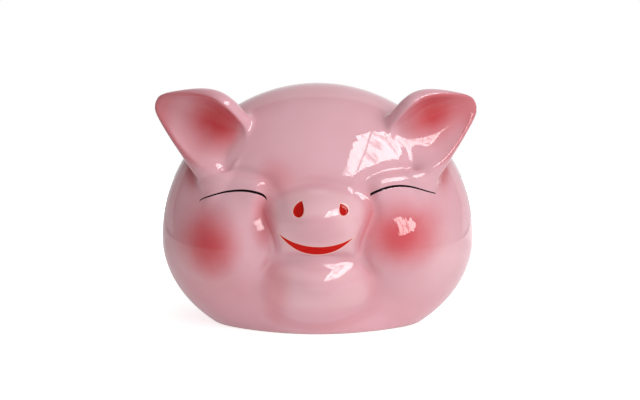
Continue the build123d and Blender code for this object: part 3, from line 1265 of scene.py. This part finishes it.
class Bench:
    """The nodes of a material or a world, with short ways to place them."""

    def __init__(self, owner: bpy.types.Material | bpy.types.World) -> None:
        """Opens the nodes.

        Args:
            owner: The material or world that has the nodes.
        """
        self.owner = owner
        owner.use_nodes = True
        self.tree = owner.node_tree
        self.shader = self.tree.nodes.get("Principled BSDF")

    def finish(self, **inputs: object) -> None:
        """Sets or links inputs of the Principled shader by name, with _ for a space."""
        for name, value in inputs.items():
            feed(self.tree, self.shader.inputs[name.replace("_", " ")], value)

    def node(self, kind: str, **inputs: object) -> bpy.types.Node:
        """Places a node and sets or links its inputs.

        Args:
            kind: The node's type.
            inputs: Its inputs by name, with _ for a space. A wire or a socket is linked.

        Returns:
            The node.
        """
        node = self.tree.nodes.new(kind)
        for name, value in inputs.items():
            feed(self.tree, node.inputs[name.replace("_", " ")], value)
        return node

    def wires(self, node: bpy.types.Node, *names: str) -> tuple[Wire, ...]:
        """Some of a node's outputs as numbers to reckon with."""
        return tuple(Wire(self.tree, node.outputs[name]) for name in names)

    def rays(self) -> tuple[Wire, ...]:
        """Whether a ray comes from the camera, from a glossy surface or through glass."""
        names = ("Is Camera Ray", "Is Glossy Ray", "Is Transmission Ray")
        return self.wires(self.node("ShaderNodeLightPath"), *names)

    def product(self, operation: str, vector: object, factor: object) -> Socket:
        """Multiplies a vector or a colour.

        Args:
            operation: SCALE, by a number, or MULTIPLY, by a vector.
            vector: The vector or colour, plain or as an output.
            factor: What it is multiplied by.

        Returns:
            The product.
        """
        node = self.node("ShaderNodeVectorMath")
        node.operation = operation
        feed(self.tree, node.inputs[0], vector)
        feed(self.tree, node.inputs["Scale" if operation == "SCALE" else 1], factor)
        return node.outputs[0]

    def places(self) -> tuple[Socket, Wire, Wire, Wire]:
        """The place on the piece in millimetres: as a vector, across, back and level."""
        coordinates = self.node("ShaderNodeTexCoord").outputs["Object"]
        vector = self.product("SCALE", coordinates, 1.0 / MILLIMETRE)
        return vector, *self.wires(self.node("ShaderNodeSeparateXYZ", Vector=vector), *"XYZ")

    def noise(self, vector: Socket, size: float, detail: float = 2.0) -> Wire:
        """Soft random values from 0 to 1.

        Args:
            vector: The place in millimetres.
            size: About how far apart the values differ, in millimetres.
            detail: How many finer layers there are.

        Returns:
            The values.
        """
        settings = {"Scale": 1.0 / size, "Detail": detail, "Roughness": 0.5}
        return self.wires(self.node("ShaderNodeTexNoise", Vector=vector, **settings), "Fac")[0]

    def attribute(self, name: str) -> Wire:
        """A number that the mesh carries."""
        node = self.node("ShaderNodeAttribute")
        node.attribute_name = name
        return self.wires(node, "Fac")[0]

    def between(self, share: object, first: bpy.types.Node, second: bpy.types.Node) -> None:
        """Mixes two shaders and links the result to the output.

        Args:
            share: How much of the second there is.
            first: The first shader's node.
            second: The second shader's node.
        """
        node = self.node("ShaderNodeMixShader", Fac=share)
        feed(self.tree, node.inputs[1], first.outputs[0])
        feed(self.tree, node.inputs[2], second.outputs[0])
        self.show(node)

    def show(self, shader: bpy.types.Node) -> None:
        """Links a shader to the output of the material or the world."""
        kind = "World" if isinstance(self.owner, bpy.types.World) else "Material"
        feed(self.tree, self.tree.nodes[f"{kind} Output"].inputs["Surface"], shader.outputs[0])

    def painted(self, under: object, over: object, mask: Wire) -> Socket:
        """Lays one colour over another.

        Args:
            under: The colour below, as a colour or a socket.
            over: The colour on top.
            mask: Where the upper colour covers.

        Returns:
            The mixed colour.
        """
        node = self.tree.nodes.new("ShaderNodeMix")
        node.data_type = "RGBA"
        for socket, value in (("Factor", mask), (6, under), (7, over)):
            feed(self.tree, node.inputs[socket], value)
        return node.outputs[2]

    def grain(self, vector: Socket, size: float, contrast: float) -> bpy.types.Node:
        """Places the shared grain group.

        Args:
            vector: The place in millimetres.
            size: The size of the grains in millimetres.
            contrast: How much the shade varies.

        Returns:
            The group's node, with its outputs Shade and Height.
        """
        node = self.tree.nodes.new("ShaderNodeGroup")
        node.node_tree = grain_group()
        for name, value in (("Place", vector), ("Grain", size), ("Contrast", contrast)):
            feed(self.tree, node.inputs[name], value)
        return node


def grain_group() -> bpy.types.NodeTree:
    """The shared group of a fine matt grain, as bare clay and moulded rubber have it.

    Returns:
        The group, built at its first use.
    """
    name = "matt_grain"
    if name in bpy.data.node_groups:
        return bpy.data.node_groups[name]
    group = bpy.data.node_groups.new(name, "ShaderNodeTree")
    group.interface.new_socket("Place", in_out="INPUT", socket_type="NodeSocketVector")
    group.interface.new_socket("Grain", in_out="INPUT", socket_type="NodeSocketFloat")
    group.interface.new_socket("Contrast", in_out="INPUT", socket_type="NodeSocketFloat")
    group.interface.new_socket("Shade", in_out="OUTPUT", socket_type="NodeSocketFloat")
    group.interface.new_socket("Height", in_out="OUTPUT", socket_type="NodeSocketFloat")
    start, end = group.nodes.new("NodeGroupInput"), group.nodes.new("NodeGroupOutput")
    scale = group.nodes.new("ShaderNodeMath")
    scale.operation = "DIVIDE"
    scale.inputs[0].default_value = 1.0
    group.links.new(start.outputs["Grain"], scale.inputs[1])
    noise = group.nodes.new("ShaderNodeTexNoise")
    noise.inputs["Detail"].default_value = 4.0
    noise.inputs["Roughness"].default_value = 0.65
    group.links.new(start.outputs["Place"], noise.inputs["Vector"])
    group.links.new(scale.outputs[0], noise.inputs["Scale"])
    centred = Wire(group, noise.outputs["Fac"]) - 0.5
    shade = centred * Wire(group, start.outputs["Contrast"]) + 1.0
    group.links.new(shade.socket, end.inputs["Shade"])
    group.links.new(noise.outputs["Fac"], end.inputs["Height"])
    return group


@dataclass(frozen=True)
class PinkGlaze:
    """Clear gloss glaze over sprayed pink, with airbrushed cheeks and ears and a painted face.

    Each blush gives its place across, its level, its half width, its half height and its strength.
    The spots beside the muzzle and the chin and on the left jaw are painted shade.
    """

    pink: tuple[float, ...] = (0.765, 0.45, 0.515, 1.0)
    deeper_pink: tuple[float, ...] = (0.735, 0.395, 0.45, 1.0)
    pooled_glaze_and_shade: tuple[float, ...] = (0.58, 0.155, 0.175, 1.0)
    thin: tuple[float, ...] = (0.86, 0.55, 0.59, 1.0)
    blush_and_shade: tuple[float, ...] = (0.64, 0.075, 0.09, 1.0)
    ear_red: tuple[float, ...] = (0.58, 0.06, 0.07, 1.0)
    mouth_red: tuple[float, ...] = (0.62, 0.006, 0.002, 1.0)
    nostril_red: tuple[float, ...] = (0.48, 0.01, 0.008, 1.0)
    pale_ring: tuple[float, ...] = (0.88, 0.60, 0.53, 1.0)
    lash: tuple[float, ...] = (0.006, 0.002, 0.004, 1.0)
    speck: tuple[float, ...] = (0.30, 0.10, 0.09, 1.0)
    clay: tuple[float, ...] = (0.72, 0.64, 0.54)
    blush_and_shade_spots: tuple[tuple[float, ...], ...] = (
        (-57.0, 48.5, 18.5, 23.0, 1.0),
        (43.6, 54.5, 25.0, 20.0, 1.0),
        (-22.0, 83.0, 12.0, 12.0, 0.32),
        # valleys beside the muzzle: airbrush deepened with painted shade
        (-27.5, 62.0, 8.0, 17.0, 0.6),
        (27.5, 61.0, 6.5, 17.0, 0.5),
        # painted shade in the valleys beside the chin
        (-22.0, 25.0, 9.5, 21.0, 0.36),
        (29.0, 31.0, 6.0, 20.0, 0.18),
        # painted shade on the left jaw, the side turned from the light
        (-58.0, 20.0, 34.0, 24.0, 0.18),
    )

    def blush_and_shade_mask(
        self, bench: Bench, vector: Socket, across: Wire, level: Wire
    ) -> Wire:
        """Where the cheeks are sprayed and where painted shade darkens valleys and the left jaw,
        strongest in the middle and speckled at the edge.

        Args:
            bench: The material's nodes.
            vector: The place in millimetres.
            across: How far to the side it is.
            level: How high it is.

        Returns:
            The mask.
        """
        drift = (bench.noise(vector, 14.0) - 0.5) * 0.22
        spray = (bench.noise(vector, 0.7, 1.0) - 0.5) * 0.10
        mask = None
        for middle, height, half_width, half_height, strength in self.blush_and_shade_spots:
            side, up = (across - middle) / half_width, (level - height) / half_height
            reach = (side * side + up * up) ** 0.5
            spot = soft_step(1.0 - (reach + drift + spray), -0.2, 0.9) * strength
            mask = spot if mask is None else most(mask, spot)
        return mask

    def material(self, marks: FaceMarks) -> bpy.types.Material:
        """Builds the material.

        Args:
            marks: The painted marks of the face.

        Returns:
            The material.
        """
        bench = Bench(bpy.data.materials.new("pink_glaze_over_clay"))
        vector, across, back, level = bench.places()
        front = soft_step(back, -18.0, -24.0)
        hollow, sprayed, bare = (bench.attribute(name) for name in ("hollow", "sprayed", "bare"))
        blush_and_shade = self.blush_and_shade_mask(bench, vector, across, level)
        fine, broad = bench.noise(vector, 0.8, 1.0) - 0.5, bench.noise(vector, 9.0) - 0.5
        fleck = fine * 0.12 + broad * 0.25
        mouth, eyes, nostrils = marks.inside(across, level)
        grain = bench.grain(vector, 0.9, 0.25)
        colour = self.pink
        for layer, mask in (
            (self.deeper_pink, soft_step(bench.noise(vector, 38.0), 0.3, 0.7)),
            (self.thin, soft_step(hollow, -0.02, -0.35) * 0.55),
            # pooled glaze and painted shade: creases and valleys darker red
            (self.pooled_glaze_and_shade, soft_step(hollow, 0.05, 0.42) * 0.75),
            # airbrushed blush, and painted shade in the valleys and on the left jaw
            (self.blush_and_shade, blush_and_shade * front * 0.92),
            (self.ear_red, soft_step(sprayed + fleck * sprayed, 0.03, 0.95)),
            (self.speck, soft_step(bench.noise(vector, 3.1, 1.0), 0.795, 0.83) * 0.3),
            # a pale ring just outside the mouth and the nostrils
            (self.pale_ring, soft_step(most(mouth, nostrils), -0.75, -0.2) * front * 0.8),
            (self.mouth_red, soft_step(mouth, -0.12, 0.12) * front),
            (self.nostril_red, soft_step(nostrils, -0.15, 0.15) * front),
            (self.lash, soft_step(eyes, -0.1, 0.1) * front),
            (bench.product("SCALE", self.clay, grain.outputs["Shade"]), bare),
        ):
            colour = bench.painted(colour, layer, mask)
        painted = soft_step(most(most(mouth, nostrils), eyes), -0.1, 0.1) * front
        swell = bench.noise(vector, 16.0, 1.0) * 0.10 + bench.noise(vector, 5.0, 1.0) * 0.012
        height = swell + bench.wires(grain, "Height")[0] * bare * 0.05
        bump = bench.node("ShaderNodeBump", Strength=1.0, Distance=MILLIMETRE, Height=height)
        bench.finish(
            Base_Color=colour,
            Roughness=bare * 0.62 + 0.16,
            Specular_IOR_Level=0.0,
            Coat_Weight=(1.0 - bare) * (painted * -0.65 + 1.0),
            Coat_Roughness=0.025,
            Coat_IOR=1.42,
            Normal=bump.outputs["Normal"],
            Coat_Normal=bump.outputs["Normal"],
        )
        return bench.owner


@dataclass(frozen=True)
class SatinRubber:
    """Dark moulded rubber with a fine matt grain."""

    colour: tuple[float, ...] = (0.045, 0.045, 0.05)
    roughness: float = 0.5

    def material(self) -> bpy.types.Material:
        """Builds the material.

        Returns:
            The material.
        """
        bench = Bench(bpy.data.materials.new("satin_rubber"))
        vector, *_ = bench.places()
        grain = bench.grain(vector, 0.5, 0.5)
        relief = {"Strength": 0.6, "Distance": 0.03 * MILLIMETRE}
        bump = bench.node("ShaderNodeBump", Height=grain.outputs["Height"], **relief)
        bench.finish(
            Base_Color=bench.product("SCALE", self.colour, grain.outputs["Shade"]),
            Roughness=(bench.noise(vector, 6.0) - 0.5) * 0.2 + self.roughness,
            Normal=bump.outputs["Normal"],
        )
        return bench.owner


@dataclass(frozen=True)
class Studio:
    """The pale floor, the white surroundings, the soft window light and the camera."""

    look_at: tuple[float, float, float] = (0.0012, 0.002, 0.0647)
    view_elevation: float = 9.0
    view_distance: float = 3.0
    view_width: float = 0.3375
    window_azimuth: float = 48.0
    window_elevation: float = 45.0
    window_distance: float = 1.0
    window_width: float = 0.70
    window_height: float = 0.50
    window_slant: float = 1.15
    window_strength: float = 14.0
    floor_half_width: float = 0.36
    floor_ahead: float = 0.30
    floor_behind: float = 0.50
    bounce: float = 0.18

    def toward(self, azimuth: float, elevation: float) -> Vector:
        """The direction from the object to a place round it, 0 in front and 90 on the right."""
        turn, rise = radians(azimuth), radians(elevation)
        return Vector((sin(turn) * cos(rise), -cos(turn) * cos(rise), sin(rise)))

    def camera(self) -> None:
        """Places the camera as the photograph was taken."""
        data = bpy.data.cameras.new("camera")
        data.sensor_width = 36.0
        data.lens = data.sensor_width * self.view_distance / self.view_width
        data.clip_end = 50.0
        camera = bpy.data.objects.new("camera", data)
        bpy.context.scene.collection.objects.link(camera)
        back = self.toward(0.0, self.view_elevation)
        camera.location = Vector(self.look_at) + back * self.view_distance
        camera.rotation_euler = (-back).to_track_quat("-Z", "Y").to_euler()
        bpy.context.scene.camera = camera

    def floor(self) -> None:
        """Lays the pale floor, which keeps the object's shadow and is clear from below."""
        work = bmesh.new()
        bmesh.ops.create_grid(work, x_segments=1, y_segments=1, size=1.0)
        half_length = (self.floor_ahead + self.floor_behind) / 2
        bmesh.ops.scale(work, verts=work.verts, vec=(self.floor_half_width, half_length, 1.0))
        bmesh.ops.translate(work, verts=work.verts, vec=(0.0, half_length - self.floor_ahead, 0.0))
        blank = Blank("floor", work)
        bench = Bench(bpy.data.materials.new("pale_floor"))
        bench.finish(
            Base_Color=(0.86, 0.86, 0.86, 1.0),
            Roughness=0.9,
            Specular_IOR_Level=0.0,
            Emission_Color=WHITE,
            Emission_Strength=self.floor_light(bench),
        )
        below = bench.node("ShaderNodeNewGeometry").outputs["Backfacing"]
        bench.between(below, bench.shader, bench.node("ShaderNodeBsdfTransparent"))
        blank.object.data.materials.append(bench.owner)

    def floor_light(self, bench: Bench) -> Wire:
        """How brightly the floor glows, which differs for the camera and for the gloss. In the
        gloss it is darker ahead of the object, on its left and close round it, as painted shadow in
        the floor's reflection, and fainter far to either side.

        Args:
            bench: The floor's nodes.

        Returns:
            The strength.
        """
        seen, gloss, glass = bench.rays()
        _, across, back, _ = bench.places()
        apart = (across * across + back * back) ** 0.5
        glow = soft_step(apart, 90.0, 300.0) * 0.39 + 0.72
        # painted shadow in the floor's reflection: darker ahead, on the left and close round the
        # object
        reflection_shading = soft_step(back, -190.0, 20.0) * 0.86 + 0.14
        reflection_shading = reflection_shading * (soft_step(across, -300.0, 80.0) * 0.78 + 0.22)
        reflection_shading = reflection_shading * (soft_step(apart, 40.0, 200.0) * 0.5 + 0.5)
        beside = soft_step(back, -220.0, -60.0) * soft_step(back, 260.0, 90.0)
        beside = beside * soft_step(apart, 120.0, 330.0)
        reflection_shading = reflection_shading * (1.0 - beside * 0.8)
        mirrored = (gloss + glass) * (glow * reflection_shading - self.bounce)
        return seen * (glow - self.bounce) + mirrored + self.bounce

    def surroundings(self) -> None:
        """Sets the world: white where it is seen, a white backdrop in the gloss, a soft room."""
        bench = Bench(bpy.data.worlds.new("soft_room"))
        bpy.context.scene.world = bench.owner
        direction = bench.node("ShaderNodeTexCoord").outputs["Generated"]
        side, back, up = bench.wires(bench.node("ShaderNodeSeparateXYZ", Vector=direction), *"XYZ")
        seen, gloss, glass = bench.rays()
        backdrop = soft_step(back - abs(side) * 0.2, 0.40, 0.425) * soft_step(up, -0.12, -0.08)
        backdrop = backdrop * (soft_step(side, -0.9, 0.1) * 0.45 + 0.55)
        room = soft_step(side * 0.85 + up * 0.1 - back * 0.3, -0.8, 1.0) * 0.50 + 0.12
        room = room * (1.0 - gloss * 0.6)
        tint = bench.painted((1.0, 0.86, 0.80, 1.0), DAYLIGHT, soft_step(side, -0.8, 0.6))
        dim = bench.node("ShaderNodeBackground", Color=tint, Strength=room)
        white = bench.node("ShaderNodeBackground", Color=WHITE)
        bench.between(most(seen, (gloss + glass) * backdrop), dim, white)

    def window(self) -> None:
        """Hangs the window-shaped softbox, which shows in the gloss alone."""
        work = bmesh.new()
        bmesh.ops.create_grid(work, x_segments=1, y_segments=1, size=0.5)
        bmesh.ops.scale(work, verts=work.verts, vec=(self.window_width, self.window_height, 1.0))
        for vert in work.verts:
            vert.co.x += vert.co.y * self.window_slant
        blank = Blank("window_light", work)
        away = self.toward(self.window_azimuth, self.window_elevation)
        turn = (-away).to_track_quat("-Z", "Y")
        blank.object.matrix_world = Matrix.Translation(
            Vector(self.look_at) + away * self.window_distance
        ) @ turn.to_matrix().to_4x4()
        blank.object.visible_camera = False
        blank.object.visible_diffuse = False
        blank.object.visible_shadow = False
        blank.object.data.materials.append(self.window_light())

    def window_light(self) -> bpy.types.Material:
        """The light of the window, with soft folds as a thin curtain has them.

        Returns:
            The material of the panel.
        """
        bench = Bench(bpy.data.materials.new("window_light"))
        vector, across, up, _ = bench.places()
        hanging = bench.product("MULTIPLY", vector, (1.0, 0.35, 1.0))
        folds = soft_step(bench.noise(hanging, 90.0), 0.38, 0.50)
        width, height = self.window_width / MILLIMETRE, self.window_height / MILLIMETRE
        slid = across - up * self.window_slant
        inside = least(width * 0.5 - abs(slid), height * 0.5 - abs(up))
        ragged = soft_step(inside + (bench.noise(vector, 110.0) - 0.5) * 260.0, 0.0, 10.0)
        gap = soft_step(abs(slid + width * 0.22), width * 0.015, width * 0.03)
        strength = ragged * (folds * 0.7 + 0.3) * (gap * 0.75 + 0.25) * self.window_strength
        bench.show(bench.node("ShaderNodeEmission", Color=DAYLIGHT, Strength=strength))
        return bench.owner

    def lamp(
        self,
        name: str,
        azimuth: float,
        elevation: float,
        distance: float,
        size: float,
        power: float,
    ) -> None:
        """Places a soft fill lamp that shows in no reflection.

        Args:
            name: The lamp's name.
            azimuth: Where it stands round the object.
            elevation: How high it stands.
            distance: How far away it is.
            size: How large its face is.
            power: Its power in watts.
        """
        data = bpy.data.lights.new(name, "AREA")
        data.shape, data.size, data.energy = "DISK", size, power
        lamp = bpy.data.objects.new(name, data)
        bpy.context.scene.collection.objects.link(lamp)
        away = self.toward(azimuth, elevation)
        lamp.location = Vector(self.look_at) + away * distance
        lamp.rotation_euler = (-away).to_track_quat("-Z", "Y").to_euler()
        lamp.visible_camera = False
        lamp.visible_glossy = False

    def build(self) -> None:
        """Sets the whole stage."""
        self.camera()
        self.floor()
        self.surroundings()
        self.window()
        self.lamp("window_key", 58.0, 34.0, 1.4, 0.7, 6.3)
        self.lamp("front_fill", 0.0, 8.0, 1.6, 1.2, 4.1)
        self.lamp("sky_fill", -8.0, 52.0, 1.6, 1.2, 4.7)
        bpy.context.scene.view_settings.view_transform = "Standard"


def dress(
    piece: bpy.types.Object,
    body: Body,
    finish: bpy.types.Material,
    nodes: tuple[str, ...],
) -> None:
    """Gives a piece its finish, its body and the CAD nodes that it stands for.

    Args:
        piece: The finished piece.
        body: The body that it rides on.
        finish: Its material.
        nodes: The CAD nodes that it replaces.
    """
    piece.data.materials.clear()
    piece.data.materials.append(finish)
    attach(piece, body.value)
    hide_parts(*nodes)
    LOG.info("%s rides on %s and replaces %s", piece.name, body.value, ", ".join(nodes))


def main() -> None:
    """Builds the stage and every piece."""
    logging.basicConfig(level=logging.INFO, format="%(name)s: %(message)s")
    Studio().build()
    head = GlazedHead()
    glaze = PinkGlaze().material(head.marks)
    dress(head.build(), Body.HEAD, glaze, ("head_shell", "left_ear", "right_ear"))
    dress(RubberBung().build(), Body.BUNG, SatinRubber().material(), ("bung",))


if __name__ == "__main__":
    main()
